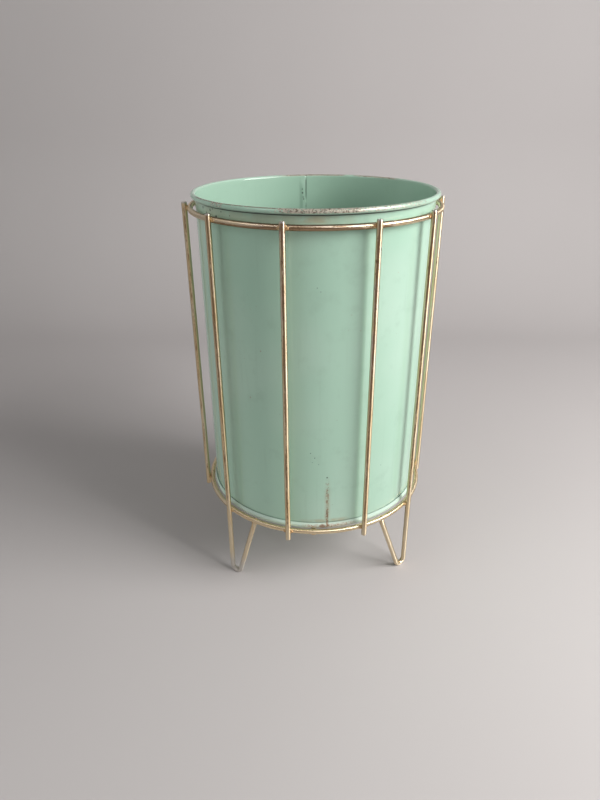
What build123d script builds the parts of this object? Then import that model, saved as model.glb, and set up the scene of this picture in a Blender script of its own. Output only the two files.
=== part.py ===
from build123d import *
from math import acos, atan2, cos, hypot, radians, sin
import os

# A wastebasket: a painted sheet-steel bin that stands loose in a welded wire stand.
# Millimetres. +Z is up and -Y is the front. The origin is on the floor, on the axis of the bin.
# Angles about the axis are in degrees from the front, positive towards +X.

# ---- driving dimensions of the bin ----
BODY_RADIUS = 99.3        # outside of the rolled sheet
BIN_HEIGHT = 274.25       # from the foot of the base to the top of the rim
SHEET = 0.6               # steel sheet of the wall and the base
RIM_WIRE = 2.6            # diameter of the wire inside the rolled rim
CURL_SWEEP = 290.0        # how far the sheet is rolled round the rim wire
SEAM_ANGLE = -172.7       # where the wall's lap seam lies
SEAM_WIDTH = 7.0
SEAM_RISE = 0.9           # how far the folded seam stands in from the wall
SEAM_END = 4.0            # how far the fold stops short of the rim's centre and of the base
CHIME_HEIGHT = 5.75       # visible band of the base
CHIME_FLARE = 1.2         # how much wider the band is than its top edge
CHIME_SHOULDER = 2.2      # height of the slope at the top of the band
CHIME_BEND = 0.5          # inside bend of the base's folded edge
FLOOR_RECESS = 5.0        # height of the bin's floor above the foot of the base

# ---- driving dimensions of the stand ----
WIRE = 4.5                # wire of the rings, rods, legs and supports
LEG_HEIGHT = 71.0         # floor to the centre of the lower ring
ROD_ABOVE = 4.9           # rods stand this far past the upper ring's centre
ROD_BELOW = 7.0           # rods hang this far past the lower ring's centre
WIRE_END_ROUND = 0.5      # rounding of the cut wire ends
FOOT_BEND = 5.0           # bend of the hairpin legs, at the wire's centre
FOOT_WEAR = 0.3           # depth of the flat worn on each foot
SUPPORT_DROP = 2.0        # the support wires lie this far below the centre of the lower ring
SUPPORT_BEND = 12.0       # bends of the support wire that dips under the other, at the wire's centre
SUPPORT_DIP_RUN = 14.0    # distance from the crossing to the middle of each slope of the dip
WELD_SINK = 0.25          # how far two crossing wires sink into each other at a weld
BUTT_SINK = 0.8           # how far the end of a hairpin arm or support wire is let into the lower ring
WELD_RADIUS = 2.9         # reach of a weld bead from the middle of the joint
WELD_DROP = 0.7           # the support wires are welded this far below their centre, clear of the bin

# ---- named clearances ----
NEST_GAP = 0.05           # between the wall and the base's folded edge
CURL_GAP = 0.2            # between the rim wire and the sheet curled round it
RING_CLEARANCE = 0.6      # between the widest part of the base and the inside of the rings
RIM_GAP = 5.9             # between the top of the upper ring and the underside of the rim
SEAT_GAP = 0.3            # between the foot of the bin and the support wires

# ---- stations round the stand ----
ROD_ANGLES = {
    "rod_front_left": -12.0,
    "rod_front_right": 24.5,
    "rod_right_front": 95.0,
    "rod_right_back": 119.0,
    "rod_back_right": 169.0,
    "rod_back_left": 193.0,
    "rod_left_back": 254.5,
    "rod_left_front": 280.0,
}
LEG_ANGLES = {  # upright, and where its hairpin arm meets the lower ring
    "leg_front_left": (-46.5, -30.8),
    "leg_front_right": (55.0, 36.0),
    "leg_back_right": (144.0, 159.7),
    "leg_back_left": (224.0, 208.3),
}
SUPPORT_END_ANGLES = {  # where each support wire meets the lower ring
    "support_wire_front_back": (0.0, 180.0),
    "support_wire_left_right": (90.0, -90.0),
}

# ---- sizes worked out from the above ----
wire_radius = WIRE / 2
skirt_outer_top = BODY_RADIUS + NEST_GAP + SHEET
chime_radius = skirt_outer_top + CHIME_FLARE
ring_radius = chime_radius + RING_CLEARANCE + wire_radius
rod_radius = ring_radius + WIRE - WELD_SINK
lower_ring_z = LEG_HEIGHT
support_z = lower_ring_z - SUPPORT_DROP
support_reach = ring_radius - wire_radius + BUTT_SINK
bin_foot_z = support_z + wire_radius + SEAT_GAP
rim_top_z = bin_foot_z + BIN_HEIGHT
wall_inside = BODY_RADIUS - SHEET
curl_inner = RIM_WIRE / 2 + CURL_GAP
curl_outer = curl_inner + SHEET
rim_radius = wall_inside + curl_outer
rim_z = rim_top_z - curl_outer
upper_ring_z = rim_z - curl_outer - RIM_GAP - wire_radius
rod_top_z = upper_ring_z + ROD_ABOVE
rod_foot_z = lower_ring_z - ROD_BELOW
floor_top_z = bin_foot_z + FLOOR_RECESS + SHEET


def round_the_axis(radius, angle, z):
    """The point at this radius, station angle and height."""
    turn = radians(angle)
    return Vector(radius * sin(turn), -radius * cos(turn), z)


def tube(path, diameter):
    """Round wire along a path that begins where the path begins."""
    return sweep(Plane(origin=path @ 0, z_dir=path % 0) * Circle(diameter / 2), path=path)


def hoop(radius, diameter, z):
    return Pos(0, 0, z) * Torus(radius, diameter / 2)


def revolved(section):
    """A section drawn with X as the radius and Y as the height, turned about the axis."""
    return revolve(Plane.XZ * section, axis=Axis.Z)


# ---- the bin ----
def rolled_rim():
    """Section of the sheet curled outwards over the rim wire."""
    centre = (rim_radius, rim_z)
    outer = CenterArc(centre, curl_outer, 180, -CURL_SWEEP)
    inner = CenterArc(centre, curl_inner, 180, -CURL_SWEEP)
    return make_face([outer, inner, Line(outer @ 0, inner @ 0), Line(outer @ 1, inner @ 1)])


def lap_seam():
    """The folded seam that stands in from the wall, between the floor and the rim."""
    low = floor_top_z + SEAM_END
    high = rim_z - SEAM_END
    band = revolved(Pos(wall_inside - SEAM_RISE / 2 + SHEET / 4, (low + high) / 2)
                    * Rectangle(SEAM_RISE + SHEET / 2, high - low))
    middle = round_the_axis(wall_inside, SEAM_ANGLE, (low + high) / 2)
    window = Pos(*middle) * Rot(0, 0, SEAM_ANGLE) * Box(SEAM_WIDTH, 2 * (SHEET + SEAM_RISE), high - low)
    return band & window


def bin_wall():
    foot = bin_foot_z + SHEET + CHIME_BEND
    sheet = Pos(wall_inside + SHEET / 2, (foot + rim_z) / 2) * Rectangle(SHEET, rim_z - foot)
    return revolved(sheet) + revolved(rolled_rim()) + lap_seam()


def rim_wire():
    return hoop(rim_radius, RIM_WIRE, rim_z)


def bin_base():
    """Dished floor, a folded edge that holds the wall, and a skirt with a sloping shoulder outside it."""
    dish = wall_inside - NEST_GAP - SHEET / 2
    middle = FilletPolyline(
        (0, floor_top_z - SHEET / 2),
        (dish, floor_top_z - SHEET / 2),
        (dish, bin_foot_z + SHEET / 2),
        (chime_radius - SHEET / 2, bin_foot_z + SHEET / 2),
        (chime_radius - SHEET / 2, bin_foot_z + CHIME_HEIGHT - CHIME_SHOULDER),
        (skirt_outer_top - SHEET / 2, bin_foot_z + CHIME_HEIGHT),
        radius=CHIME_BEND + SHEET / 2,
    )
    return revolved(trace(middle, SHEET))


# ---- the stand ----
def upper_ring():
    return hoop(ring_radius, WIRE, upper_ring_z)


def lower_ring():
    return hoop(ring_radius, WIRE, lower_ring_z)


def rod(angle):
    """A straight upright that stands against the outside of both rings."""
    foot = round_the_axis(rod_radius, angle, rod_foot_z)
    bar = Pos(*foot) * Cylinder(wire_radius, rod_top_z - rod_foot_z,
                                align=(Align.CENTER, Align.CENTER, Align.MIN))
    return fillet(bar.edges().filter_by(GeomType.CIRCLE), WIRE_END_ROUND)


def hairpin_leg(upright_angle, arm_angle):
    """An upright that reaches the floor, bends back and ends at the lower ring."""
    top = round_the_axis(rod_radius, upright_angle, rod_top_z)
    arm_end = round_the_axis(ring_radius, arm_angle, lower_ring_z)
    towards_arm = Vector(arm_end.X - top.X, arm_end.Y - top.Y, 0)
    reach = towards_arm.length
    lowest = wire_radius - FOOT_WEAR
    bend_z = lowest + FOOT_BEND
    to_end = hypot(reach - FOOT_BEND, lower_ring_z - bend_z)
    rise = atan2(lower_ring_z - bend_z, reach - FOOT_BEND)
    tangent = rise - acos(FOOT_BEND / to_end)

    def in_plane(along, z):
        side = towards_arm.normalized() * along
        return Vector(top.X + side.X, top.Y + side.Y, z)

    start = in_plane(0, bend_z)
    bottom = in_plane(FOOT_BEND, lowest)
    leave = in_plane(FOOT_BEND * (1 + cos(tangent)), bend_z + FOOT_BEND * sin(tangent))
    arm_stop = arm_end - (arm_end - leave).normalized() * (wire_radius - BUTT_SINK)
    path = Line(top, start) + ThreePointArc(start, bottom, leave) + Line(leave, arm_stop)
    leg = tube(path, WIRE)
    leg = fillet(leg.edges().filter_by(GeomType.CIRCLE).sort_by(Axis.Z)[-1], WIRE_END_ROUND)
    below_floor = Box(4 * rod_radius, 4 * rod_radius, WIRE, align=(Align.CENTER, Align.CENTER, Align.MAX))
    return leg - below_floor


def support_wire_front_back():
    """Straight wire across the inside of the lower ring from its front to its back."""
    path = Line((0, -support_reach, support_z), (0, support_reach, support_z))
    return tube(path, WIRE)


def dip_path():
    """Left to right inside the lower ring, dipping one wire lower where it crosses the other."""
    low = support_z - WIRE + WELD_SINK
    turn = SUPPORT_DIP_RUN
    return FilletPolyline(
        (-support_reach, 0, support_z),
        (-2 * turn, 0, support_z),
        (-turn, 0, low),
        (turn, 0, low),
        (2 * turn, 0, support_z),
        (support_reach, 0, support_z),
        radius=SUPPORT_BEND,
    )


def support_wire_left_right():
    return tube(dip_path(), WIRE)


def weld_bead(point, *wires):
    """A bead of weld in the crook between wires that meet at this point."""
    bead = Pos(*point) * Sphere(WELD_RADIUS)
    for wire in wires:
        bead -= wire
    return bead


def ring_welds(ring, ring_z, uprights):
    """One bead wherever an upright crosses a ring."""
    crossing = ring_radius + wire_radius - WELD_SINK / 2
    return [weld_bead(round_the_axis(crossing, angle, ring_z), ring, upright)
            for angle, upright in uprights]


def leg_arm_welds(ring, legs):
    """One bead where each hairpin arm ends under the lower ring."""
    beads = []
    for (_, arm_angle), leg in legs:
        point = round_the_axis(ring_radius, arm_angle, lower_ring_z - wire_radius)
        beads.append(weld_bead(point, ring, leg))
    return beads


def support_wire_welds(ring, straight, dipped):
    """Beads at the ends of the support wires, and one where they cross."""
    joint_z = support_z - WELD_DROP
    under_wire = support_z - wire_radius + WELD_SINK / 2
    wires = {"support_wire_front_back": straight, "support_wire_left_right": dipped}
    ends = [(angle, wire) for name, wire in wires.items() for angle in SUPPORT_END_ANGLES[name]]
    beads = [weld_bead(round_the_axis(support_reach, angle, joint_z), ring, wire) for angle, wire in ends]
    return beads + [weld_bead(Vector(0, 0, under_wire), straight, dipped)]


def all_pieces():
    """Every node's name with its solid, or with a list of solids."""
    pieces = {"bin_wall": bin_wall(), "rim_wire": rim_wire(), "bin_base": bin_base()}
    upper, lower = upper_ring(), lower_ring()
    # a wire that is welded on is cut back to the surface of the one that it sinks into
    straight = support_wire_front_back() - lower
    dipped = support_wire_left_right() - lower - straight
    rods = {name: rod(angle) - upper - lower for name, angle in ROD_ANGLES.items()}
    legs = {name: hairpin_leg(*angles) - upper - lower for name, angles in LEG_ANGLES.items()}
    uprights = [(angle, rods[name]) for name, angle in ROD_ANGLES.items()]
    uprights += [(angles[0], legs[name]) for name, angles in LEG_ANGLES.items()]
    pieces.update({"upper_ring": upper, "lower_ring": lower})
    pieces.update(rods)
    pieces.update(legs)
    pieces["support_wire_front_back"] = straight
    pieces["support_wire_left_right"] = dipped
    pieces["upper_ring_welds"] = ring_welds(upper, upper_ring_z, uprights)
    pieces["lower_ring_welds"] = ring_welds(lower, lower_ring_z, uprights)
    pieces["leg_arm_welds"] = leg_arm_welds(lower, [(LEG_ANGLES[name], legs[name]) for name in LEG_ANGLES])
    pieces["support_wire_welds"] = support_wire_welds(lower, straight, dipped)
    return pieces


os.makedirs("parts", exist_ok=True)
for node, piece in all_pieces().items():
    shape = Compound(children=piece) if isinstance(piece, list) else piece
    export_step(shape, f"parts/{node}.step")
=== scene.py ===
from math import acos, atan2, cos, degrees, hypot, pi, radians, sin, sqrt, tan

import bmesh
import bpy
from mathutils import Matrix, Vector, noise

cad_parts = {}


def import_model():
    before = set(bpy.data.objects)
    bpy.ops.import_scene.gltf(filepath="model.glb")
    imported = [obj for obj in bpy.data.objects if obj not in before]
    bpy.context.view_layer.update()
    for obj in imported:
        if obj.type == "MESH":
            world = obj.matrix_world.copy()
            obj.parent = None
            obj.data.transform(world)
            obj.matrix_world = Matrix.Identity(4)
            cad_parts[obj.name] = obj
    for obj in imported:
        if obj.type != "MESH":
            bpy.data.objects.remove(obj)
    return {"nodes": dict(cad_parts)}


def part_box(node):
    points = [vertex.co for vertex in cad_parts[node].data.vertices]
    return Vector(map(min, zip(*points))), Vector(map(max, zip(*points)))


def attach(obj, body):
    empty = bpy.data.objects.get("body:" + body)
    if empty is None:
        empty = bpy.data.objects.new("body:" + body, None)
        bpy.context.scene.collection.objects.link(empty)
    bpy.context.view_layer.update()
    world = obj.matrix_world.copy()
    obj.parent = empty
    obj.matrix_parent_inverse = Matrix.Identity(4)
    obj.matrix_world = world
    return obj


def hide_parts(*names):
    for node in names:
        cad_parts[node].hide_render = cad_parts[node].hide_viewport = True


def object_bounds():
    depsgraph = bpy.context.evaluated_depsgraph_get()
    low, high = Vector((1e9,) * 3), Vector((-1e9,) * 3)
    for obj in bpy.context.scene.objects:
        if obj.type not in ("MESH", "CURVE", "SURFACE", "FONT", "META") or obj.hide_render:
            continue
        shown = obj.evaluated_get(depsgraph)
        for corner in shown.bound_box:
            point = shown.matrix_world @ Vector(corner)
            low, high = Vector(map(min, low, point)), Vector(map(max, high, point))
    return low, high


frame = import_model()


# A painted sheet-steel wastebasket, standing loose in a brass-plated wire stand.
# Metres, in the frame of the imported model. Station angles are in degrees from the front (-Y), positive
# towards +X.

CAD_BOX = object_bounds()
MM = 0.001
UP = Vector((0, 0, 1))

# The same seed each run, so the wires always stray alike.
noise.seed_set(1)


# ---- sizes read from the frame ----
def box_middle(node):
    low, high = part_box(node)
    return (Vector(low) + Vector(high)) / 2


def station(place):
    """Station angle of a place, in degrees."""
    return degrees(atan2(place.x, -place.y))


def at(radius, angle, z):
    """The point at this radius, station angle and height."""
    turn = radians(angle)
    return Vector((radius * sin(turn), -radius * cos(turn), z))


RING_LOW, RING_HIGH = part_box("upper_ring")
WIRE_R = (RING_HIGH[2] - RING_LOW[2]) / 2
RING_R = RING_HIGH[0] - WIRE_R
UPPER_Z = box_middle("upper_ring").z
LOWER_Z = box_middle("lower_ring").z
RODS = [name for name in frame["nodes"] if name.startswith("rod_")]
LEGS = [name for name in frame["nodes"] if name.startswith("leg_") and not name.endswith("welds")]
ROD_R = hypot(box_middle(RODS[0]).x, box_middle(RODS[0]).y)
ROD_LOW_Z, ROD_TOP_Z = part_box(RODS[0])[0][2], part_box(RODS[0])[1][2]
SUPPORT_Z = box_middle("support_wire_front_back").z
DIP_LOW, DIP_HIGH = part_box("support_wire_left_right")

WALL_FOOT_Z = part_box("bin_wall")[0][2]
RIM_TOP_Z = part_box("bin_wall")[1][2]
BASE_FOOT_Z, BASE_TOP_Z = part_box("bin_base")[0][2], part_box("bin_base")[1][2]
BAND_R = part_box("bin_base")[1][0]
RIM_Z = box_middle("rim_wire").z
CURL_R = RIM_TOP_Z - RIM_Z
RIM_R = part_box("bin_wall")[1][0] - CURL_R
WALL_IN = RIM_R - CURL_R

# ---- sizes that the frame doesn't give ----
SHEET = 0.6 * MM
CURL_SWEEP = 290.0
SEAM_ANGLE = -172.7
SEAM_WIDTH = 7.0 * MM
SEAM_RISE = 0.9 * MM
SEAM_SHARP_EDGE = 0.4 * MM
SEAM_SOFT_EDGE = 4.5 * MM
SEAM_STOP = 4.0 * MM
SEAM_END = 1.0 * MM
LAP_LINE = 0.22 * MM
LAP_LINE_WIDTH = 0.35 * MM
RIM_LAP = 0.4 * MM
RIM_LAP_WIDTH = 1.6 * MM
FLOOR_RECESS = 5.0 * MM
FLOOR_Z = BASE_FOOT_Z + FLOOR_RECESS + SHEET
BASE_FIT = 0.05 * MM
BASE_BEND = 0.8 * MM
BAND_UNDERCUT = 0.9 * MM
BAND_LOW_Z = BASE_FOOT_Z + 2.3 * MM
BAND_HIGH_Z = BASE_TOP_Z - 2.2 * MM
FOOT_BEND = 5.0 * MM
SOLE_WEAR = 0.3 * MM
END_ROUND = 0.5 * MM
BUTT_SINK = 0.8 * MM
DIP_RUN = 14 * MM

# Radii between which a shader passes from the inside of the wall's sheet to its outside.
SHEET_INSIDE, SHEET_OUTSIDE = WALL_IN + 0.2 * MM, WALL_IN + 0.4 * MM


# ---- shared arithmetic ----
def unit(value):
    """The value, kept between 0 and 1."""
    return min(1.0, max(0.0, value))


def eased(value):
    """Rises from 0 to 1 along an S as the value does."""
    share = unit(value)
    return share * share * (3 - 2 * share)


def bumpy(place, lumps_a_metre, height, seed=0.0):
    """Smooth unevenness of up to this height at a place."""
    return noise.noise(place * lumps_a_metre + Vector((seed, 0, 0))) * height


# ---- mesh builders ----
WIRE_SIDES = 24


def kept_in(place):
    """The place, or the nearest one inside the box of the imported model."""
    return Vector([min(max(part, low), high) for part, low, high in zip(place, *CAD_BOX)])


def new_piece(name, mesh, material):
    """A smooth-shaded object with this mesh and material."""
    for face in mesh.polygons:
        face.use_smooth = True
    mesh.materials.clear()
    mesh.materials.append(material)
    piece = bpy.data.objects.new(name, mesh)
    bpy.context.scene.collection.objects.link(piece)
    return piece


def new_object(name, points, faces, material):
    """An object made from points and faces, with doubled points joined and faces turned outwards."""
    mesh = bpy.data.meshes.new(name)
    mesh.from_pydata([tuple(point) for point in points], [], faces)
    shape = bmesh.new()
    shape.from_mesh(mesh)
    bmesh.ops.remove_doubles(shape, verts=shape.verts, dist=1e-7)
    bmesh.ops.recalc_face_normals(shape, faces=shape.faces)
    shape.to_mesh(mesh)
    shape.free()
    return new_piece(name, mesh, material)


def dress(piece, body, slot, *nodes):
    """Rides the piece on its body in place of the CAD nodes. The slot is not used."""
    for vertex in piece.data.vertices:
        vertex.co = kept_in(vertex.co)
    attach(piece, body)
    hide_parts(*nodes)
    return piece


def joining_faces(rings, count, closed):
    """Faces from each ring of this many points to the next, and from the last to the first if closed."""
    faces = []
    for ring in range(rings if closed else rings - 1):
        here, there = ring * count, (ring + 1) % rings * count
        for step in range(count):
            after = (step + 1) % count
            faces.append((here + step, here + after, there + after, there + step))
    return faces


def lathe(name, section, angles, material, shape):
    """A closed section of (radius, z, face) turned about the axis; shape moves each of its points."""
    points = [at(*shape(radius, angle, z, face)) for angle in angles for radius, z, face in section]
    return new_object(name, points, joining_faces(len(angles), len(section), True), material)


def span(low, high, steps):
    """Evenly spaced values from low to high, both included."""
    return [low + (high - low) * step / steps for step in range(steps + 1)]


def circle_frames(path, closed):
    """A pair of cross-section axes at each point of the path, turned as little as possible."""
    count = len(path)
    frames = []
    side = None
    for index in range(count):
        before = path[index - 1] if index or closed else path[0]
        after = path[(index + 1) % count] if index < count - 1 or closed else path[-1]
        along = (after - before).normalized()
        if side is None:
            side = along.orthogonal().normalized()
        side = (side - along * side.dot(along)).normalized()
        frames.append((side.copy(), along.cross(side)))
    return frames


def tube_mesh(path, radii, closed):
    """Points and faces of a round tube with its own radius at each point of the path."""
    points = []
    for place, radius, (side, other) in zip(path, radii, circle_frames(path, closed)):
        for step in range(WIRE_SIDES):
            turn = 2 * pi * step / WIRE_SIDES
            points.append(place + (side * cos(turn) + other * sin(turn)) * radius)
    faces = joining_faces(len(path), WIRE_SIDES, closed)
    if not closed:
        last_ring = (len(path) - 1) * WIRE_SIDES
        faces.append(tuple(range(WIRE_SIDES - 1, -1, -1)))
        faces.append(tuple(last_ring + step for step in range(WIRE_SIDES)))
    return points, faces


def rounded_ends(path, radius, first, last):
    """The path with extra points near its ends, and radii that round the chosen ends."""
    radii = [radius] * len(path)
    turns = (0, pi / 6, pi / 3, pi / 2)
    for chosen in (last, first):
        path, radii = path[::-1], radii[::-1]
        if chosen:
            along = (path[1] - path[0]).normalized()
            cap = [path[0] + along * (1 - cos(turn)) * END_ROUND for turn in turns]
            path, radii = cap + path[1:], [radius - END_ROUND * (1 - sin(turn)) for turn in turns] + radii[1:]
    return path, radii


def bent_a_little(path, seed):
    """Hand-straightened wire: the path strays smoothly by a fraction of a millimetre."""
    waves_a_metre, most_stray, eased_points = 14, 0.14 * MM, 4
    moved = []
    for index, place in enumerate(path):
        ease = min(1.0, index / eased_points, (len(path) - 1 - index) / eased_points)
        stray = noise.noise_vector(place * waves_a_metre + Vector((seed, 0, 0)))
        moved.append(place + stray * most_stray * ease)
    return moved


def wire(name, path, material, closed=False, round_first=False, round_last=False):
    """A round wire along the path."""
    if closed:
        radii = [WIRE_R] * len(path)
    else:
        path, radii = rounded_ends(path, WIRE_R, round_first, round_last)
    points, faces = tube_mesh(path, radii, closed)
    return new_object(name, points, faces, material)


# ---- nodes ----
class Nodes:
    """Adds nodes to one tree. Most methods give the output of what they add."""

    def __init__(self, tree):
        self.tree = tree

    def node(self, kind, **inputs):
        """A new node with these inputs."""
        node = self.tree.nodes.new(kind)
        for name, value in inputs.items():
            self.put(node.inputs[name], value)
        return node

    def put(self, socket, value):
        """Links an output to the socket, or sets a number or a colour of three parts on it."""
        if isinstance(value, bpy.types.NodeSocket):
            self.tree.links.new(value, socket)
        elif isinstance(value, tuple):
            socket.default_value = (*value, 1.0)
        else:
            socket.default_value = value

    def math(self, operation, *values):
        """The result of a sum on one or two values."""
        node = self.tree.nodes.new("ShaderNodeMath")
        node.operation = operation
        for socket, value in zip(node.inputs, values):
            self.put(socket, value)
        return node.outputs[0]

    def fold(self, operation, values):
        """The result of the same sum on all the values, two at a time."""
        result = values[0]
        for value in values[1:]:
            result = self.math(operation, result, value)
        return result

    def times(self, *values):
        """The product of all the values."""
        return self.fold("MULTIPLY", values)

    def plus(self, *values):
        """All the values added up."""
        return self.fold("ADD", values)

    def most(self, *values):
        """The largest of all the values."""
        return self.fold("MAXIMUM", values)

    def less(self, value, taken):
        """What is left of the value when something is taken from it."""
        return self.math("SUBTRACT", value, taken)

    def length(self, across, up):
        """The straight distance that two steps at right angles make."""
        return self.math("SQRT", self.plus(self.times(across, across), self.times(up, up)))

    def step(self, value, low, high):
        """0 below low and 1 above high, smooth between; reversed where high is under low."""
        falling = low > high
        node = self.node("ShaderNodeMapRange", **{
            "Value": value, "From Min": min(low, high), "From Max": max(low, high),
            "To Min": float(falling), "To Max": float(not falling)})
        node.interpolation_type = "SMOOTHSTEP"
        return node.outputs[0]

    def near(self, value, middle, reach, soft):
        """1 within reach of the middle, falling to 0 over the soft distance."""
        away = self.math("ABSOLUTE", self.less(value, middle))
        return self.step(away, reach + soft, reach)

    def mix(self, share, first, second):
        """Blends two colours."""
        node = self.tree.nodes.new("ShaderNodeMix")
        node.data_type = "RGBA"
        for socket, value in zip((node.inputs[0], node.inputs[6], node.inputs[7]), (share, first, second)):
            self.put(socket, value)
        return node.outputs[2]

    def layered(self, colour, *layers):
        """Lays colours over a colour, one after another. A layer is a share and a colour."""
        for share, over in layers:
            colour = self.mix(share, colour, over)
        return colour

    def blend(self, share, first, second):
        """Blends two numbers."""
        node = self.tree.nodes.new("ShaderNodeMix")
        for socket, value in zip((node.inputs[0], node.inputs[2], node.inputs[3]), (share, first, second)):
            self.put(socket, value)
        return node.outputs[0]

    def seen(self):
        """1 where the camera or a reflection looks, and 0 for the soft light that falls on things."""
        path = self.node("ShaderNodeLightPath").outputs
        return self.most(path["Is Camera Ray"], path["Is Glossy Ray"], path["Is Transmission Ray"])


class Shader(Nodes):
    """One node material, with the places and directions that its patterns follow."""

    def __init__(self, name):
        self.material = bpy.data.materials.new(name)
        self.material.use_nodes = True
        super().__init__(self.material.node_tree)
        self.surface = self.tree.nodes["Principled BSDF"]
        coordinates = self.node("ShaderNodeTexCoord")
        self.place = coordinates.outputs["Object"]
        self.normal = coordinates.outputs["Normal"]
        self.x, self.y, self.z = self.node("ShaderNodeSeparateXYZ", Vector=self.place).outputs
        self.angle = self.math("ARCTAN2", self.x, self.times(self.y, -1.0))
        self.radius = self.length(self.x, self.y)

    def near_angle(self, middle, reach, soft):
        """1 within reach of this station, in degrees, measured the short way round."""
        turned = self.math("COSINE", self.less(self.angle, radians(middle)))
        return self.step(turned, cos(radians(reach + soft)), cos(radians(reach)))

    def patch(self, stations, heights, strength):
        """A soft patch. Stations and heights are each a middle, a reach and a soft distance."""
        return self.times(self.near_angle(*stations), self.near(self.z, *heights), strength)

    def facing(self, x, y, z):
        """How squarely the surface faces this direction: 1 straight at it, 0 side on."""
        node = self.node("ShaderNodeVectorMath")
        node.operation = "DOT_PRODUCT"
        self.put(node.inputs[0], self.normal)
        node.inputs[1].default_value = Vector((x, y, z)).normalized()
        return node.outputs["Value"]

    def grain(self, upright):
        """The way the plating's brushed highlights stretch: along a rod, or along a ring."""
        if not upright:
            node = self.node("ShaderNodeTangent")
            node.direction_type, node.axis = "RADIAL", "Z"
            return node.outputs["Tangent"]
        return self.node("ShaderNodeCombineXYZ", Z=1.0).outputs["Vector"]

    def wrapped(self):
        """Coordinates that run round the object: along a ring, outwards and up, in metres."""
        along = self.times(self.angle, RING_R)
        return self.node("ShaderNodeCombineXYZ", X=along, Y=self.radius, Z=self.z).outputs["Vector"]

    def mapped(self, place, scales, shifts):
        """The place, scaled along each axis and then shifted."""
        mapping = self.node("ShaderNodeMapping", Vector=place)
        mapping.inputs["Scale"].default_value = scales
        mapping.inputs["Location"].default_value = shifts
        return mapping.outputs[0]

    def noise(self, scale, detail=3.0, roughness=0.5, stretch=(1, 1, 1), shift=0.0, place=None):
        """Noise of this many lumps a metre, stretched along the axes; 0 to 1."""
        scales = tuple(scale * part for part in stretch)
        lumps = self.mapped(place or self.place, scales, (shift, shift * 1.7, -shift))
        node = self.node("ShaderNodeTexNoise", Vector=lumps, Scale=1.0, Detail=detail, Roughness=roughness)
        return node.outputs["Fac"]

    def specks(self, scale, size, share, shift=0.0):
        """Small round spots in a share of the cells of a grid of this many cells a metre."""
        grid = self.mapped(self.place, (scale, scale, scale), (shift, shift, shift))
        cells = self.node("ShaderNodeTexVoronoi", Vector=grid, Scale=1.0)
        pick = self.node("ShaderNodeSeparateColor", Color=cells.outputs["Color"])
        chosen = self.math("LESS_THAN", pick.outputs[0], share)
        spot = self.math("LESS_THAN", cells.outputs["Distance"], self.times(pick.outputs[1], size))
        return self.times(chosen, spot)

    def spot(self, angle, z, size, ragged):
        """A ragged round spot on the wall at this station and height."""
        aside = self.times(self.less(self.angle, radians(angle)), WALL_IN)
        away = self.length(aside, self.less(self.z, z))
        edge = self.plus(away, self.times(self.less(ragged, 0.5), size * 1.6))
        return self.step(edge, size, size * 0.7)

    def bump(self, height, distance, under=None):
        """A surface roughened by this height, on top of another bump if one is given."""
        node = self.node("ShaderNodeBump", Height=height, Strength=1.0, Distance=distance)
        if under is not None:
            self.put(node.inputs["Normal"], under)
        return node.outputs[0]

    def finish(self, **inputs):
        """Sets the surface's inputs and gives the material."""
        for name, value in inputs.items():
            self.put(self.surface.inputs[name.replace("_", " ")], value)
        return self.material


# ---- paint ----
MINT = (0.385, 0.585, 0.465)
MINT_FADED = (0.435, 0.615, 0.505)
MINT_GREY = (0.31, 0.46, 0.365)
# Paler paint for the base's band, which also stands in for its highlight.
MINT_CHALK_HIGHLIGHT = (0.62, 0.76, 0.68)
DUST = (0.27, 0.29, 0.24)
NEARLY_BLACK = (0.022, 0.030, 0.024)
RUST_DARK = (0.13, 0.070, 0.040)
RUST = (0.33, 0.19, 0.10)
RUST_PALE = (0.42, 0.31, 0.18)
SCUFF_PALE = (0.62, 0.56, 0.50)
BARE_METAL = (0.66, 0.62, 0.52)
WORN_BROWN = (0.125, 0.080, 0.052)

# Dark specks: station, height and size in millimetres. On the rim and seam, heights are from the
# middle of the rolled rim, and on the body from the lower ring.
RIM_SPECKS = ((-59.6, -4.7, 1.15), (-56.1, -7.5, 0.7), (-52.4, -5.1, 0.95), (-50.2, -3.9, 0.6),
              (-47.7, -8.7, 1.25), (-43.9, -4.6, 0.6), (-38.5, -6.5, 0.5))
SEAM_SPECKS = ((-172.6, -11.1, 0.60), (-172.7, -14.7, 0.85), (-173.1, -18.7, 0.60), (-173.3, -20.5, 0.75))
BODY_SPECKS = ((6.5, 53.5, 0.80), (-1.6, 78, 0.40), (0.4, 73.5, 0.45), (-0.8, 69, 0.35),
               (2.3, 67, 0.40), (1.1, 219, 0.45), (2.6, 216, 0.35), (36.0, 55, 0.35))

# Brown stains, as patches: stations, heights and strength.
STAINS = (((0, 3, 6), (RIM_Z - 5.2 * MM, 1.6 * MM, 2.4 * MM), 0.55),
          ((-22, 30, 12), (RIM_Z - 6.5 * MM, 2.5 * MM, 2.0 * MM), 0.28),
          ((-35, 2, 4), (RIM_Z - 6.5 * MM, 1.2 * MM, 2.0 * MM), 0.30),
          ((7, 7, 9), (BASE_TOP_Z + 1.2 * MM, 0.8 * MM, 2.4 * MM), 0.5))


def base_coat(shader, clouds, inside):
    """Enamel that has faded in broad areas, with greyish clouds and runs; the inside is painted greyer and
    darker, as shade in the bin's hollow.
    """
    broad = shader.noise(9, detail=2)
    runs = shader.noise(240, detail=3, roughness=0.6, stretch=(1, 1, 0.05), shift=6.1)
    return shader.layered(
        shader.mix(shader.step(broad, 0.38, 0.66), MINT, MINT_FADED),
        (shader.times(shader.step(clouds, 0.52, 0.75), 0.30), MINT_GREY),
        (shader.times(shader.step(runs, 0.56, 0.74), 0.16), MINT_GREY),
        # Painted shade: the inside is darker and greyer all over.
        (shader.times(inside, 0.6), MINT_GREY))


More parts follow.
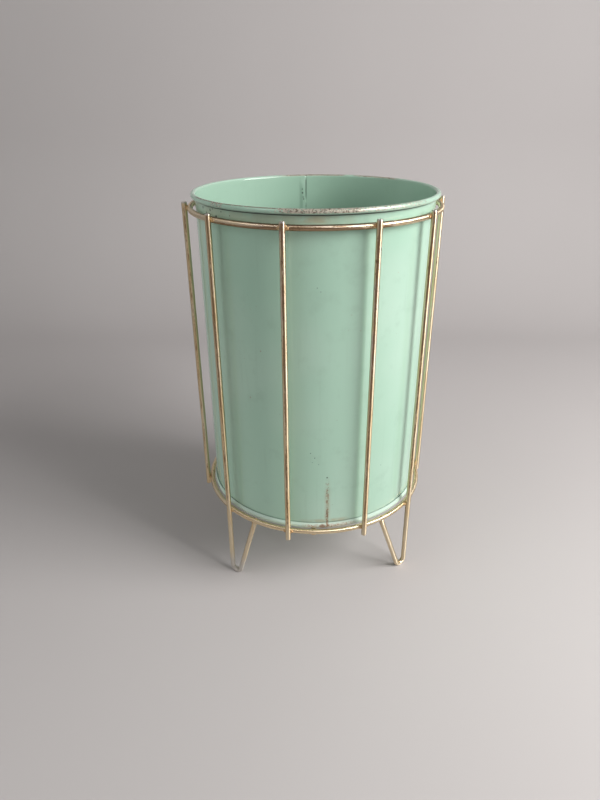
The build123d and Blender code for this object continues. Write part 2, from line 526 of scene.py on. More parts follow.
def rim_wear(shader, chip, grain):
    """Where the rolled rim is rubbed bare, mostly at the front and back, and the brown line inside it."""
    roll = shader.math("ARCTAN2", shader.less(shader.z, RIM_Z), shader.less(shader.radius, RIM_R))
    crest = shader.times(shader.near(roll, radians(62), radians(76), radians(24)),
                         shader.step(shader.z, RIM_Z - 1.3 * MM, RIM_Z - 0.7 * MM))
    patches = shader.noise(34, detail=3, roughness=0.6, shift=7.7)
    places = shader.most(
        shader.near_angle(3, 12, 10),
        shader.near_angle(180, 14, 6),
        shader.times(shader.near_angle(144, 9, 7), 0.90),
        shader.times(shader.near_angle(31, 14, 14), 0.55),
        shader.times(shader.step(patches, 0.50, 0.66), 0.55))
    cover = shader.plus(shader.times(chip, 0.55), shader.times(grain, 0.45), shader.times(places, 0.17))
    rubbed = shader.times(crest, shader.step(cover, 0.575, 0.625))
    inner_line = shader.times(shader.near(roll, radians(80), radians(24), radians(8)),
                              shader.near_angle(-38, 22, 7), shader.step(chip, 0.38, 0.46))
    return rubbed, inner_line


def rust_streak(shader, speckle, outside):
    """A thin run of rust down the front, denser towards the foot, and the stain round it."""
    wander = shader.noise(85, detail=2, shift=2.2)
    line = shader.plus(shader.angle, shader.times(shader.less(wander, 0.5), 0.020))
    density = shader.step(shader.z, LOWER_Z + 56 * MM, LOWER_Z + 14 * MM)
    extent = shader.times(shader.near(shader.z, LOWER_Z + 27.5 * MM, 23.5 * MM, 6 * MM),
                          shader.step(shader.y, 0, -10 * MM), outside)
    width = shader.near(line, radians(6.8), 0.004, 0.016)
    broken = shader.step(shader.plus(speckle, shader.times(density, 0.09)), 0.53, 0.60)
    halo = shader.times(shader.near(line, radians(6.9), 0.008, 0.030), extent, density)
    return shader.times(width, extent, broken, 0.95), halo


def foot_wear(shader, chip, speckle, outside):
    """Rust on the base's band and in chips along its foot, and the scuffs beside it."""
    band_rust = shader.times(shader.spot(4.3, BASE_FOOT_Z + 2.4 * MM, 2.7 * MM, speckle), outside, 0.75)
    chips = shader.times(shader.step(shader.z, BASE_FOOT_Z + 1.2 * MM, BASE_FOOT_Z + 0.3 * MM),
                         shader.step(chip, 0.55, 0.61))
    scratches = shader.noise(420, detail=5, roughness=0.8, stretch=(1, 1, 2.2), shift=4)
    scuffs = shader.times(shader.patch((8, 9, 6), (BASE_FOOT_Z + 2.7 * MM, 0.9 * MM, 2.0 * MM), 0.9),
                          outside, shader.step(scratches, 0.42, 0.50))
    return shader.most(band_rust, chips), scuffs


def dark_specks(shader, chip, outside, inside):
    """Specks at the listed places, each on its own side of the sheet."""
    def group(specks, level):
        return shader.most(*[shader.spot(angle, level + height * MM, size * MM, chip)
                             for angle, height, size in specks])

    outer = shader.most(group(RIM_SPECKS, RIM_Z), group(BODY_SPECKS, LOWER_Z))
    return shader.most(shader.times(outer, outside), shader.times(group(SEAM_SPECKS, RIM_Z), inside))


def stains(shader, clouds, streak_halo, outside):
    """Pale brown stains round the run of rust, on the neck and over the base's band."""
    patches = [shader.patch(*stain) for stain in STAINS]
    stained = shader.most(shader.times(streak_halo, 0.42), *patches)
    return shader.times(stained, shader.step(clouds, 0.32, 0.58), outside)


def crevice_shade_marks(shader, outside):
    """Painted shade under the roll of the rim, in the groove below and along the top of the base's band."""
    under_roll = shader.times(shader.near(shader.z, RIM_Z - 2.5 * MM, 0.35 * MM, 0.45 * MM),
                              shader.step(shader.radius, RIM_R, RIM_R - 0.6 * MM), 0.85)
    groove = shader.times(shader.near(shader.z, RIM_Z - 2.0 * MM, 0.20 * MM, 0.25 * MM), 0.80)
    band_top = shader.times(shader.near(shader.z, BASE_TOP_Z + 0.15 * MM, 0.12 * MM, 0.35 * MM), 0.40)
    return shader.times(outside, shader.most(under_roll, groove, band_top))


def seam_shadow_line(shader, clouds, inside):
    """A painted shadow line down the sharp edge of the seam, from the rim to near the floor."""
    sharp_edge = radians(SEAM_ANGLE) - SEAM_WIDTH / 2 / WALL_IN
    run = shader.times(shader.step(shader.z, LOWER_Z + 19 * MM, LOWER_Z + 29 * MM),
                       shader.step(shader.z, RIM_Z, RIM_Z - 4 * MM))
    line = shader.near(shader.angle, sharp_edge, 0.0060, 0.0030)
    return shader.times(line, run, inside, shader.step(clouds, 0.25, 0.5), 0.60)


def paint_gloss(shader, dust_and_shade, chips, rubbed):
    """Smeared gloss, duller where it is dusty, chipped or rubbed through, and under the painted crevice
    shade.
    """
    smear = shader.noise(130, detail=4, roughness=0.65, stretch=(1, 1, 0.35), shift=4.4)
    roughness = shader.blend(shader.step(smear, 0.35, 0.7), 0.07, 0.14)
    roughness = shader.blend(dust_and_shade, roughness, 0.6)
    roughness = shader.blend(chips, roughness, 0.74)
    return shader.blend(rubbed, roughness, 0.42)


def paint_relief(shader, missing, grain):
    """Faint orange peel, with a step down and rough pits where paint is missing."""
    peel = shader.bump(shader.noise(1100, detail=2), 0.006 * MM)
    edges = shader.bump(shader.less(1.0, missing), 0.05 * MM, under=peel)
    return shader.bump(shader.times(missing, grain), 0.10 * MM, under=edges)


def mint_paint():
    """Semi-gloss enamel, faded in places, worn to metal along the rim and rusting at the foot."""
    shader = Shader("mint_paint")
    clouds = shader.noise(60, detail=4, roughness=0.6, shift=3.1)
    chip = shader.noise(480, detail=5, roughness=0.7, stretch=(1, 1, 1.4), shift=1.3)
    grain = shader.noise(1000, detail=3, roughness=0.7, shift=5.5)
    speckle = shader.noise(560, detail=4, roughness=0.8, stretch=(1, 1, 0.75), shift=3.9)
    outside = shader.step(shader.radius, SHEET_INSIDE, SHEET_OUTSIDE)
    inside = shader.step(shader.radius, SHEET_OUTSIDE, SHEET_INSIDE)

    rubbed, inner_line = rim_wear(shader, chip, grain)
    streak, streak_halo = rust_streak(shader, speckle, outside)
    foot_rust, scuffs = foot_wear(shader, chip, speckle, outside)
    scattered = shader.times(shader.specks(190, 0.13, 0.035, shift=2.0), 0.6)
    pinpoints = shader.times(shader.specks(430, 0.15, 0.030, shift=9.0), 0.7)
    rust = shader.most(streak, foot_rust, scattered, pinpoints)
    dark_spots = dark_specks(shader, chip, outside, inside)
    # Painted shade: dark lines under the rim's roll, in its groove and along the top of the base's band.
    painted_crevice_shade = crevice_shade_marks(shader, outside)
    dust = shader.times(shader.step(shader.z, FLOOR_Z + 14 * MM, FLOOR_Z), shader.step(clouds, 0.3, 0.7),
                        shader.step(shader.radius, WALL_IN + 0.2 * MM, WALL_IN - 0.2 * MM))
    # The base's band is painted paler all round: partly chalky paint, partly a painted highlight where the
    # band catches the light.
    band_painted_highlight = shader.times(outside, shader.step(shader.z, BASE_TOP_Z + 0.1 * MM, BASE_TOP_Z - 0.3 * MM))
    flecks = shader.step(shader.plus(shader.times(grain, 0.5), shader.times(speckle, 0.5)), 0.44, 0.54)

    colour = shader.layered(
        base_coat(shader, clouds, inside),
        (stains(shader, clouds, streak_halo, outside), RUST_PALE),
        # Painted shade under the rim and a painted shadow line along the seam's sharp edge.
        (shader.most(painted_crevice_shade, seam_shadow_line(shader, clouds, inside)), NEARLY_BLACK),
        (shader.times(dust, 0.5), DUST),
        (shader.times(band_painted_highlight, 0.7), MINT_CHALK_HIGHLIGHT),
        (scuffs, shader.mix(shader.step(grain, 0.42, 0.56), RUST, SCUFF_PALE)),
        (rust, shader.mix(shader.step(grain, 0.38, 0.62), RUST_DARK, RUST)),
        (shader.times(dark_spots, 0.9), NEARLY_BLACK),
        (shader.times(inner_line, 0.85), WORN_BROWN),
        (rubbed, shader.mix(flecks, WORN_BROWN, BARE_METAL)))

    chips = shader.most(rust, dark_spots)
    roughness = paint_gloss(shader, shader.most(shader.times(dust, 0.8), painted_crevice_shade), chips, rubbed)
    relief = paint_relief(shader, shader.most(chips, rubbed), grain)
    metallic = shader.times(rubbed, flecks, 0.8)
    return shader.finish(Base_Color=colour, Roughness=roughness, Metallic=metallic, Normal=relief, IOR=1.58)


# ---- metal ----
GOLD = (0.76, 0.585, 0.345)
GOLD_PALE = (0.84, 0.735, 0.55)
ROSE = (0.78, 0.65, 0.57)
COPPER_BROWN = (0.27, 0.155, 0.075)
TARNISH = (0.10, 0.062, 0.040)
NICKEL = (0.70, 0.68, 0.64)
FILLER = (0.72, 0.53, 0.30)
FILLER_DARK = (0.55, 0.345, 0.175)
FLUX = (0.16, 0.088, 0.045)
STEEL = (0.44, 0.42, 0.40)
STEEL_RUSTED = (0.24, 0.15, 0.09)


def wire_wear(shader):
    """Where the wires are worn, and where dark reflection and shade are painted on them: how worn each place
    is, where hands rub, and the front of the upper ring.
    """
    front = shader.step(shader.y, 20 * MM, -50 * MM)
    high = shader.step(shader.z, LOWER_Z + 49 * MM, LOWER_Z + 199 * MM)
    middle_front = shader.near_angle(6, 22, 12)
    on_upper_ring = shader.near(shader.z, UPPER_Z, 3 * MM, 1 * MM)
    ring_front = shader.times(on_upper_ring, shader.near_angle(-3, 16, 12))
    place = shader.most(
        shader.times(middle_front, high),
        shader.times(front, high, 0.6),
        shader.times(middle_front, 0.35),
        shader.times(ring_front, 1.15),
        0.12)

    # Painted dark reflection down the front face of the rods and along the top of the upper ring, and painted
    # shade on its underside; these go into the brown with the wear.
    above_ring = shader.step(shader.z, LOWER_Z - 3 * MM, LOWER_Z + 14 * MM)
    front_face_dark_reflection = shader.times(shader.step(shader.facing(-0.12, -1, 0), 0.90, 0.985), above_ring)
    top_dark_reflection = shader.step(shader.facing(0, 0.15, 1), 0.55, 0.85)
    underside_painted_shade = shader.step(shader.facing(0, -0.25, -1), 0.15, 0.60)
    ring_dark_reflection_lines = shader.times(on_upper_ring, shader.near_angle(-8, 34, 12), shader.most(underside_painted_shade, top_dark_reflection))
    rubbed = shader.most(
        shader.times(front_face_dark_reflection, front, shader.blend(high, 0.85, 1.0)),
        shader.times(underside_painted_shade, ring_front, 1.8),
        shader.times(ring_dark_reflection_lines, 1.2),
        shader.times(ring_front, 0.35))
    return place, rubbed, ring_front


def plated_wire(name, upright_wire):
    """Brass plating over steel wire: drawn lines along it, worn and speckled brown high on the front, where
    the brown also paints dark reflection and shade; the legs are painted paler as a highlight.
    """
    shader = Shader(name)
    course = shader.place if upright_wire else shader.wrapped()
    drawn_out = (1, 1, 0.05) if upright_wire else (0.05, 1, 1)
    along = shader.noise(500, detail=3, roughness=0.6, stretch=drawn_out, place=course)
    lines = shader.noise(900, detail=3, roughness=0.6, stretch=drawn_out, shift=1.1, place=course)
    blotch = shader.noise(110, detail=4, roughness=0.65, stretch=(1, 1, 0.4), shift=2.7)
    mottle = shader.noise(620, detail=5, roughness=0.72, stretch=(1, 1, 0.45), shift=5.1)

    place, rubbed, ring_front = wire_wear(shader)
    # Painted highlight: the legs are painted in the paler gold.
    legs_painted_highlight = shader.step(shader.z, LOWER_Z - 5 * MM, LOWER_Z - 21 * MM)
    bright = shader.most(shader.step(along, 0.35, 0.7), shader.times(legs_painted_highlight, 0.75))
    rosy = shader.times(shader.step(blotch, 0.40, 0.64), shader.step(place, 0.3, 1.0))
    # The brown takes in the painted dark reflection and shade as well as the wear.
    plating_wear_and_painted_dark = shader.plus(shader.times(mottle, 0.30), shader.times(lines, 0.70),
                               shader.times(place, 0.06), shader.times(rubbed, 0.22))
    worn = shader.step(plating_wear_and_painted_dark, 0.63, 0.71)
    spots = shader.times(shader.step(shader.plus(mottle, shader.times(place, 0.09)), 0.68, 0.74), 0.8)
    silvered = shader.times(shader.step(shader.z, 28 * MM, 8 * MM), shader.near_angle(-43, 12, 8))
    tips = shader.step(shader.z, ROD_TOP_Z - 1.5 * MM, ROD_TOP_Z - 0.3 * MM)
    soles = shader.step(shader.z, 1.2 * MM, 0.3 * MM)
    colour = shader.layered(
        shader.mix(bright, GOLD, GOLD_PALE),
        (shader.times(shader.most(rosy, shader.times(ring_front, 0.6)), 0.7), ROSE),
        (shader.times(worn, 0.85), COPPER_BROWN),
        (spots, TARNISH),
        (shader.times(shader.most(silvered, tips, soles), 0.85), NICKEL))

    smooth, dull = (0.32, 0.40) if upright_wire else (0.24, 0.32)
    roughness = shader.blend(shader.step(along, 0.3, 0.7), smooth, dull)
    roughness = shader.blend(spots, roughness, 0.60)
    drawn = shader.bump(along, 0.004 * MM)
    hollows = shader.times(shader.most(spots, shader.times(worn, 0.5)), -1.0)
    pitted = shader.bump(hollows, 0.012 * MM, under=drawn)
    metallic = shader.blend(spots, 1.0, 0.5)
    return shader.finish(Base_Color=colour, Roughness=roughness, Metallic=metallic, Normal=pitted,
                         Anisotropic=1.0, Tangent=shader.grain(upright_wire))


def weld_metal():
    """Beads of filler under the plating: warm metal, with brown flux left in the low spots."""
    shader = Shader("weld_metal")
    lumps = shader.noise(620, detail=4, roughness=0.7, shift=1.9)
    spread = shader.noise(170, detail=3, shift=4.2)
    flux = shader.step(lumps, 0.44, 0.32)
    colour = shader.layered(shader.mix(shader.step(spread, 0.36, 0.66), FILLER, FILLER_DARK), (flux, FLUX))
    roughness = shader.blend(flux, shader.blend(spread, 0.30, 0.45), 0.8)
    metallic = shader.blend(flux, 0.95, 0.3)
    uneven_skin = shader.bump(lumps, 0.08 * MM)
    return shader.finish(Base_Color=colour, Roughness=roughness, Metallic=metallic, Normal=uneven_skin)


def bare_wire():
    """The drawn steel wire inside the rolled rim."""
    shader = Shader("bare_wire")
    drawn = shader.noise(800, detail=3, roughness=0.6)
    colour = shader.mix(shader.step(drawn, 0.35, 0.65), STEEL, STEEL_RUSTED)
    roughness = shader.blend(drawn, 0.4, 0.65)
    return shader.finish(Base_Color=colour, Roughness=roughness, Metallic=0.8,
                         Normal=shader.bump(drawn, 0.02 * MM))


# ---- the bin ----
def seam_across(angle):
    """Distance round the wall from the middle of the seam, positive towards its soft edge."""
    return ((angle - SEAM_ANGLE + 180) % 360 - 180) * pi / 180 * WALL_IN


def seam_height(angle, z):
    """How far the folded seam stands in from the wall: one sharp edge, one that blends in."""
    across = seam_across(angle)
    sharp = unit((SEAM_WIDTH / 2 + across) / SEAM_SHARP_EDGE)
    soft = eased((SEAM_WIDTH / 2 - across) / SEAM_SOFT_EDGE)
    low_end = unit((z - FLOOR_Z - SEAM_STOP) / SEAM_END)
    high_end = unit((RIM_Z - SEAM_STOP - z) / SEAM_END)
    return SEAM_RISE * sqrt(sharp * (2 - sharp)) * soft * low_end * high_end


def wall_waves(angle, z):
    """Hand-rolled sheet: long shallow hollows that die out near the rim and foot."""
    ease = min(1.0, (z - BASE_TOP_Z) / (25 * MM), (RIM_Z - 3 * MM - z) / (20 * MM))
    drawn_out = at(WALL_IN, angle, z * 0.45)
    return max(0.0, ease) * bumpy(drawn_out, 17, 0.22 * MM)


def wall_shape(radius, angle, z, face):
    """The seam stands in on the inside, and outside its edge is a fine line and a lap in the rolled rim."""
    off_edge = abs(seam_across(angle) + SEAM_WIDTH / 2)
    if face == "inside":
        return radius + wall_waves(angle, z) - seam_height(angle, z), angle, z
    if face == "outside":
        return radius + wall_waves(angle, z) - LAP_LINE * unit(1 - off_edge / LAP_LINE_WIDTH), angle, z
    lumps = bumpy(at(RIM_R, angle, 0), 75, 0.13 * MM)
    lap = RIM_LAP * unit(1 - off_edge / RIM_LAP_WIDTH)
    sunk = Vector((radius - RIM_R, z - RIM_Z)).normalized() * min(0.0, lumps - lap)
    return radius + sunk.x, angle, z + sunk.y


def wall_angles():
    """Stations all round, closer together across the seam."""
    seam = [SEAM_ANGLE + step for step in span(-3.0, 3.0, 60)]
    rest = [SEAM_ANGLE + step for step in span(4.0, 356.0, 352)]
    return seam + rest


def bin_wall(material):
    """The wall's sheet: up the inside, over and round the curl, back along it and down the outside."""
    curl = span(180, 180 - CURL_SWEEP, 34)

    def curled(radius, turn):
        return RIM_R + radius * cos(radians(turn)), RIM_Z + radius * sin(radians(turn)), "curl"

    section = [(WALL_IN, z, "inside") for z in span(WALL_FOOT_Z, RIM_Z, 70)[:-1]]
    section += [curled(CURL_R, turn) for turn in curl]
    section += [curled(CURL_R - SHEET, turn) for turn in curl[::-1]]
    section += [(WALL_IN + SHEET, z, "outside") for z in span(RIM_Z, WALL_FOOT_Z, 70)[1:]]
    piece = lathe("bin_wall_sheet", section, wall_angles(), material, wall_shape)
    return dress(piece, "bin", "paint", "bin_wall")


def fillet_2d(corner, before, after, radius, steps=5):
    """Points of the round that replaces a corner between two straight runs."""
    one, two = (before - corner).normalized(), (after - corner).normalized()
    half = acos(max(-1.0, min(1.0, one.dot(two)))) / 2
    reach = radius / tan(half)
    centre = corner + (one + two).normalized() * radius / sin(half)
    start, end = corner + one * reach - centre, corner + two * reach - centre
    turn = atan2(start.x * end.y - start.y * end.x, start.dot(end))
    return [centre + Matrix.Rotation(turn * step / steps, 2) @ start for step in range(steps + 1)]


def base_middle_line():
    """The middle of the base's sheet: floor, folded edge, undercut foot, band and shoulder."""
    floor_z, foot_z = FLOOR_Z - SHEET / 2, BASE_FOOT_Z + SHEET / 2
    dish = WALL_IN - BASE_FIT - SHEET / 2
    band = BAND_R - SHEET / 2
    top = WALL_IN + SHEET + BASE_FIT + SHEET / 2
    corners = [Vector(corner) for corner in (
        (0.0, floor_z), (dish, floor_z), (dish, foot_z), (band - BAND_UNDERCUT, foot_z),
        (band, BAND_LOW_Z), (band, BAND_HIGH_Z), (top, BASE_TOP_Z))]
    line = [Vector((dish * share, floor_z)) for share in span(0, 0.985, 40)]
    for before, corner, after in zip(corners, corners[1:], corners[2:]):
        line += fillet_2d(corner, before, after, BASE_BEND)
    line += [corners[-2].lerp(corners[-1], share) for share in span(0.25, 1.0, 8)]
    return line


def base_shape(radius, angle, z, _face):
    """The floor has oil-canned a little, and the skirt is not quite even."""
    floor_r = 0.9 * WALL_IN
    if radius < floor_r:
        hollow = bumpy(at(radius, angle, 0), 22, 0.5 * MM)
        return radius, angle, z + hollow * (1 - radius / floor_r)
    if radius > WALL_IN + SHEET:
        return radius - abs(bumpy(at(radius, angle, z), 60, 0.10 * MM)), angle, z
    return radius, angle, z


def bin_base(material):
    """The base's sheet, half its thickness to each side of its middle line."""
    line = base_middle_line()
    section_out, section_in = [], []
    for index, place in enumerate(line):
        before, after = line[max(0, index - 1)], line[min(len(line) - 1, index + 1)]
        along = (after - before).normalized()
        normal = Vector((-along.y, along.x)) * SHEET / 2
        section_out.append(place + normal)
        section_in.append(place - normal)
    section = [(max(0.0, place.x), place.y, "base") for place in section_out + section_in[::-1]]
    piece = lathe("bin_base_pan", section, span(0, 359, 359), material, base_shape)
    return dress(piece, "bin", "paint", "bin_base")


def rim_wire(material):
    """The CAD wire keeps its shape and gets its finish."""
    node = frame["nodes"]["rim_wire"]
    node.data.materials.clear()
    node.data.materials.append(material)


# ---- the stand ----
def ring(name, z, material, node):
    """A hoop of wire that is not quite round or level."""
    path = []
    for angle in span(0, 359, 359):
        radius = RING_R + bumpy(at(RING_R, angle, z), 16, 0.15 * MM)
        path.append(at(radius, angle, z + bumpy(at(RING_R, angle, z + 1), 16, 0.12 * MM)))
    return dress(wire(name, path, material, closed=True), "stand", "plated_wire", node)


def upright(node, material):
    """A straight rod, at the station of the CAD node."""
    angle = station(box_middle(node))
    path = [at(ROD_R, angle, z) for z in span(ROD_LOW_Z, ROD_TOP_Z, 56)]
    piece = wire(node + "_wire", bent_a_little(path, angle), material, round_first=True, round_last=True)
    return dress(piece, "stand", "plated_wire", node)


def leg_stations(node):
    """Where a leg's upright stands, and where its arm meets the lower ring."""
    low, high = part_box(node)
    middle = box_middle(node)
    outer_x = low[0] + WIRE_R if middle.x < 0 else high[0] - WIRE_R
    outer_y = sqrt(ROD_R ** 2 - outer_x ** 2) * (1 if middle.y > 0 else -1)
    weld_points = [vertex.co for vertex in frame["nodes"]["leg_arm_welds"].data.vertices]
    beside = [co for co in weld_points if co.x * middle.x > 0 and co.y * middle.y > 0]
    weld = sum(beside, Vector()) / len(beside)
    return station(Vector((outer_x, outer_y, 0))), station(weld)


def hairpin(node, material):
    """A leg: straight down, round a bend on the floor, and up along the arm to the lower ring."""
    upright_angle, arm_angle = leg_stations(node)
    top = at(ROD_R, upright_angle, ROD_TOP_Z)
    arm_end = at(RING_R, arm_angle, LOWER_Z)
    lean = Vector((arm_end.x - top.x, arm_end.y - top.y, 0))
    bend_z = WIRE_R - SOLE_WEAR + FOOT_BEND
    across, up = lean.length - FOOT_BEND, LOWER_Z - bend_z
    arm_start = atan2(up, across) - acos(FOOT_BEND / hypot(across, up))

    def in_plane(along, z):
        side = lean.normalized() * along
        return Vector((top.x + side.x, top.y + side.y, z))

    straight = [in_plane(0, z) for z in span(ROD_TOP_Z, bend_z, 66)]
    bend = [in_plane(FOOT_BEND * (1 + cos(turn)), bend_z + FOOT_BEND * sin(turn))
            for turn in span(pi, 2 * pi + arm_start, 26)[1:]]
    arm = [bend[-1].lerp(arm_end, share) for share in span(0, 0.985, 14)[1:]]
    path = bent_a_little(straight, upright_angle) + bend + arm
    piece = wire(node + "_wire", path, material, round_first=True)
    return dress(piece, "stand", "plated_wire", node)


def support_wires(material):
    """Two crossed wires: one straight, and one that dips under it in the middle."""
    reach = RING_R - WIRE_R + BUTT_SINK
    dip = DIP_HIGH[2] - DIP_LOW[2] - 2 * WIRE_R
    straight = [Vector((0, y, SUPPORT_Z)) for y in span(-reach, reach, 40)]
    dipped = [Vector((x, 0, SUPPORT_Z - dip * eased((2 * DIP_RUN - abs(x)) / DIP_RUN)))
              for x in span(-reach, reach, 110)]
    for node, path in (("support_wire_front_back", straight), ("support_wire_left_right", dipped)):
        dress(wire(node + "_wire", path, material), "stand", "plated_wire", node)


# ---- welds ----
def lump(points, faces, centre, axes, sizes):
    """Adds an ellipsoid to the points and faces."""
    start = len(points)
    ball = bmesh.new()
    bmesh.ops.create_icosphere(ball, subdivisions=3, radius=1.0)
    for vertex in ball.verts:
        steps = [axis * size * part for axis, size, part in zip(axes, sizes, vertex.co)]
        points.append(centre + sum(steps, Vector()))
    faces += [tuple(start + vertex.index for vertex in face.verts) for face in ball.faces]
    ball.free()


def melted(name, points, faces, seed, material):
    """Fuses overlapping shapes into one bead with soft crooks and an uneven skin."""
    rough = new_object(name + "_rough", points, faces, material)
    remesh = rough.modifiers.new("fuse", "REMESH")
    remesh.mode = "VOXEL"
    remesh.voxel_size = 0.30 * MM
    soften = rough.modifiers.new("soften", "SMOOTH")
    soften.factor = 0.5
    soften.iterations = 6
    seen = rough.evaluated_get(bpy.context.evaluated_depsgraph_get())
    mesh = bpy.data.meshes.new_from_object(seen)
    bpy.data.objects.remove(rough)
    skin = [(vertex.co.copy(), vertex.normal.copy()) for vertex in mesh.vertices]
    for vertex, (place, normal) in zip(mesh.vertices, skin):
        vertex.co = place + normal * bumpy(place, 900, 0.12 * MM, seed)
    return mesh


def bead_group(name, joints, material, node):
    """All the beads of one kind as one piece. A joint is a list of lumps: centre, axes and half sizes."""
    whole = bmesh.new()
    for number, lumps in enumerate(joints):
        points, faces = [], []
        for centre, axes, sizes in lumps:
            lump(points, faces, centre, axes, sizes)
        mesh = melted(name, points, faces, number * 3.7, material)
        whole.from_mesh(mesh)
        bpy.data.meshes.remove(mesh)
    mesh = bpy.data.meshes.new(name)
    whole.to_mesh(mesh)
    whole.free()
    return dress(new_piece(name, mesh, material), "stand", "weld_metal", node)


def uneven(seed, low, high):
    """A number between low and high that is always the same for one seed."""
    return low + (high - low) * (0.5 + 0.5 * noise.noise(Vector((seed * 0.37, 5.3, seed * 0.11))))


def ring_joint(angle, z):
    """Where an upright crosses a ring: filler in the crook on each side of the upright."""
    out = at(1, angle, 0)
    along = UP.cross(out)
    axes = (along, UP, out)
    contact = at((RING_R + ROD_R) / 2 + 0.1 * MM, angle, z)
    lumps = [(contact, axes, (2.6 * MM, 1.9 * MM, 0.9 * MM))]
    for side in (-1, 1):
        reach = uneven(angle * side + z * 900, 1.7, 3.0) * MM
        height = uneven(angle * side - z * 700, 1.1, 1.8) * MM
        in_crook = contact + along * side * 2.3 * MM
        up_the_rod = contact + along * side * 1.9 * MM + UP * 0.5 * MM
        lumps.append((in_crook, axes, (reach, height, 1.15 * MM)))
        lumps.append((up_the_rod, axes, (1.0 * MM, 2.2 * MM, 0.9 * MM)))
    return lumps


def arm_joint(node):
    """Where a hairpin arm ends under the ring: a low collar, and a spatter on top of the ring."""
    upright_angle, arm_angle = leg_stations(node)
    foot = at(ROD_R, upright_angle, FOOT_BEND)
    middle = at(RING_R, arm_angle, LOWER_Z)
    down = (foot - middle).normalized()
    out = at(1, arm_angle, 0)
    along = UP.cross(out)
    collar = middle + down * (WIRE_R + 0.1 * MM)
    spatter = middle + UP * (WIRE_R - 0.1 * MM) - out * 0.5 * MM + along * 0.9 * MM
    return [(collar, (along, down, out), (2.9 * MM, 0.8 * MM, 2.5 * MM)),
            (spatter, (along, UP, out), (1.3 * MM, 0.55 * MM, 0.8 * MM))]


def support_joint(angle):
    """Where a support wire ends against the inside of the ring: a bead below it, clear of the bin."""
    out = at(1, angle, 0)
    along = UP.cross(out)
    contact = at(RING_R - WIRE_R + BUTT_SINK, angle, SUPPORT_Z - 0.9 * MM)
    return [(contact, (along, out, UP), (2.9 * MM, 1.6 * MM, 1.7 * MM))]


def crossing_joint():
    """Where the support wires cross: a flat bead between them."""
    contact = Vector((0, 0, (DIP_LOW[2] + WIRE_R + SUPPORT_Z) / 2))
    across, ahead = Vector((1, 0, 0)), Vector((0, 1, 0))
    return [(contact, (across, ahead, UP), (2.6 * MM, 2.6 * MM, 1.2 * MM))]


def stand(wire_finish, ring_finish, weld_finish):
    """Rings, rods, legs and support wires, and the beads that join them."""
    ring("upper_ring_wire", UPPER_Z, ring_finish, "upper_ring")
    ring("lower_ring_wire", LOWER_Z, ring_finish, "lower_ring")
    for node in RODS:
        upright(node, wire_finish)
    for node in LEGS:
        hairpin(node, wire_finish)
    support_wires(ring_finish)

    crossings = [station(box_middle(node)) for node in RODS] + [leg_stations(node)[0] for node in LEGS]
    support_ends = [support_joint(angle) for angle in (0, 90, 180, 270)]
    groups = (
        ("upper_ring_beads", "upper_ring_welds", [ring_joint(angle, UPPER_Z) for angle in crossings]),
        ("lower_ring_beads", "lower_ring_welds", [ring_joint(angle, LOWER_Z) for angle in crossings]),
        ("leg_arm_beads", "leg_arm_welds", [arm_joint(node) for node in LEGS]),
        ("support_wire_beads", "support_wire_welds", support_ends + [crossing_joint()]))
    for name, node, joints in groups:
        bead_group(name, joints, weld_finish, node)


# ---- studio ----
FLOOR_PALE = (0.565, 0.535, 0.535)
FLOOR_DARKER = (0.535, 0.505, 0.505)
FLOOR_UNLIT = (0.05, 0.05, 0.055)
BACKDROP = (0.36, 0.345, 0.345)
SKY = (0.98, 0.98, 0.95)


def studio_surface():
    """The pale floor, which sweeps up into the backdrop. Its far parts throw little light back."""
    shader = Shader("studio_surface")
    colour = shader.mix(shader.noise(3, detail=2), FLOOR_DARKER, FLOOR_PALE)
    far = shader.times(shader.step(shader.radius, 0.38, 0.80),
                       shader.blend(shader.step(shader.y, 0.2, 0.5), 1.0, 0.35))
    colour = shader.mix(shader.times(far, shader.less(1.0, shader.seen()), 0.88), colour, FLOOR_UNLIT)
    return shader.finish(Base_Color=colour, Roughness=0.8, Normal=shader.bump(shader.noise(900), 0.03 * MM))


def studio(material):
    """A pale floor that sweeps up behind the object."""
    front, back, bend, wide, tall = -3.0, 0.55, 0.35, 3.0, 1.8
    line = [(front, 0.0), (back, 0.0)]
    line += [(back + bend * sin(turn), bend * (1 - cos(turn))) for turn in span(0, pi / 2, 16)[1:]]
    line += [(back + bend, tall)]
    points = [Vector((side * wide, y, z)) for y, z in line for side in (-1, 1)]
    faces = [(2 * row, 2 * row + 1, 2 * row + 3, 2 * row + 2) for row in range(len(line) - 1)]
    new_object("studio_floor", points, faces, material)


def area_light(name, place, size, power, colour):
    """A rectangular lamp aimed at the middle of the object."""
    lamp = bpy.data.lights.new(name, "AREA")
    lamp.shape = "RECTANGLE"
    lamp.size, lamp.size_y = size
    lamp.energy = power
    lamp.color = colour
    holder = bpy.data.objects.new(name, lamp)
    holder.location = place
    aim = Vector((0, 0, 0.18))
    holder.rotation_euler = (aim - Vector(place)).to_track_quat("-Z", "Y").to_euler()
    bpy.context.scene.collection.objects.link(holder)


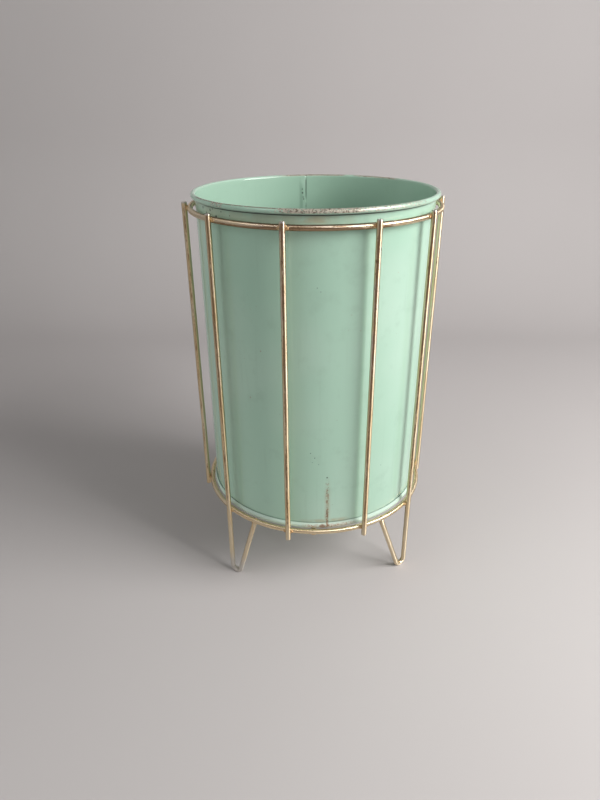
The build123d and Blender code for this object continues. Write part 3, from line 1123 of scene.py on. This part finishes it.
def world():
    """Soft sky: a little light overhead, more from low on both sides, and dark behind the photographer."""
    sky = bpy.data.worlds.new("studio")
    bpy.context.scene.world = sky
    sky.use_nodes = True
    nodes = Nodes(sky.node_tree)
    toward = nodes.node("ShaderNodeTexCoord").outputs["Generated"]
    x, y, z = nodes.node("ShaderNodeSeparateXYZ", Vector=toward).outputs
    overhead = nodes.blend(nodes.step(z, 0.05, 0.9), 0.06, 0.15)
    behind = nodes.times(nodes.step(y, 0.15, 0.75), 0.35)
    sideways = nodes.plus(nodes.times(nodes.step(x, -0.15, -0.85), 1.65),
                          nodes.times(nodes.step(x, 0.35, 0.90), 1.2))
    low_down = nodes.blend(nodes.step(z, 0.20, 0.65), 1.0, 0.12)

    lighting = nodes.tree.nodes["Background"]
    nodes.put(lighting.inputs["Color"], SKY)
    nodes.put(lighting.inputs["Strength"], nodes.plus(overhead, behind, nodes.times(sideways, low_down)))
    backdrop = nodes.node("ShaderNodeBackground", Color=BACKDROP)
    choice = nodes.node("ShaderNodeMixShader", Fac=nodes.seen())
    nodes.put(choice.inputs[1], lighting.outputs[0])
    nodes.put(choice.inputs[2], backdrop.outputs[0])
    nodes.put(nodes.tree.nodes["World Output"].inputs["Surface"], choice.outputs[0])


def lights():
    """A soft lamp high on the right, a small cool one high on the left, and the sky."""
    world()
    area_light("key", (0.975, -0.445, 0.83), size=(0.75, 0.75), power=19.5, colour=(1.0, 0.985, 0.965))
    area_light("glint", (-0.72, -0.42, 1.03), size=(0.40, 0.07), power=0.7, colour=(0.95, 0.97, 1.0))


def camera():
    """The photographer stood close, and looked down into the bin."""
    data = bpy.data.cameras.new("camera")
    data.lens = 27.0
    holder = bpy.data.objects.new("camera", data)
    holder.location = (0, -0.5245, 0.4143)
    down, aside, roll = 26.86, 1.52, -0.44
    turn = Matrix.Rotation(radians(aside), 3, "Z") @ Matrix.Rotation(radians(90 - down), 3, "X")
    holder.rotation_euler = (turn @ Matrix.Rotation(radians(roll), 3, "Z")).to_euler()
    bpy.context.scene.collection.objects.link(holder)
    bpy.context.scene.camera = holder


bpy.context.scene.view_settings.view_transform = "Standard"
paint = mint_paint()
bin_wall(paint)
bin_base(paint)
rim_wire(bare_wire())
stand(plated_wire("plated_rod", True), plated_wire("plated_ring", False), weld_metal())
studio(studio_surface())
lights()
camera()
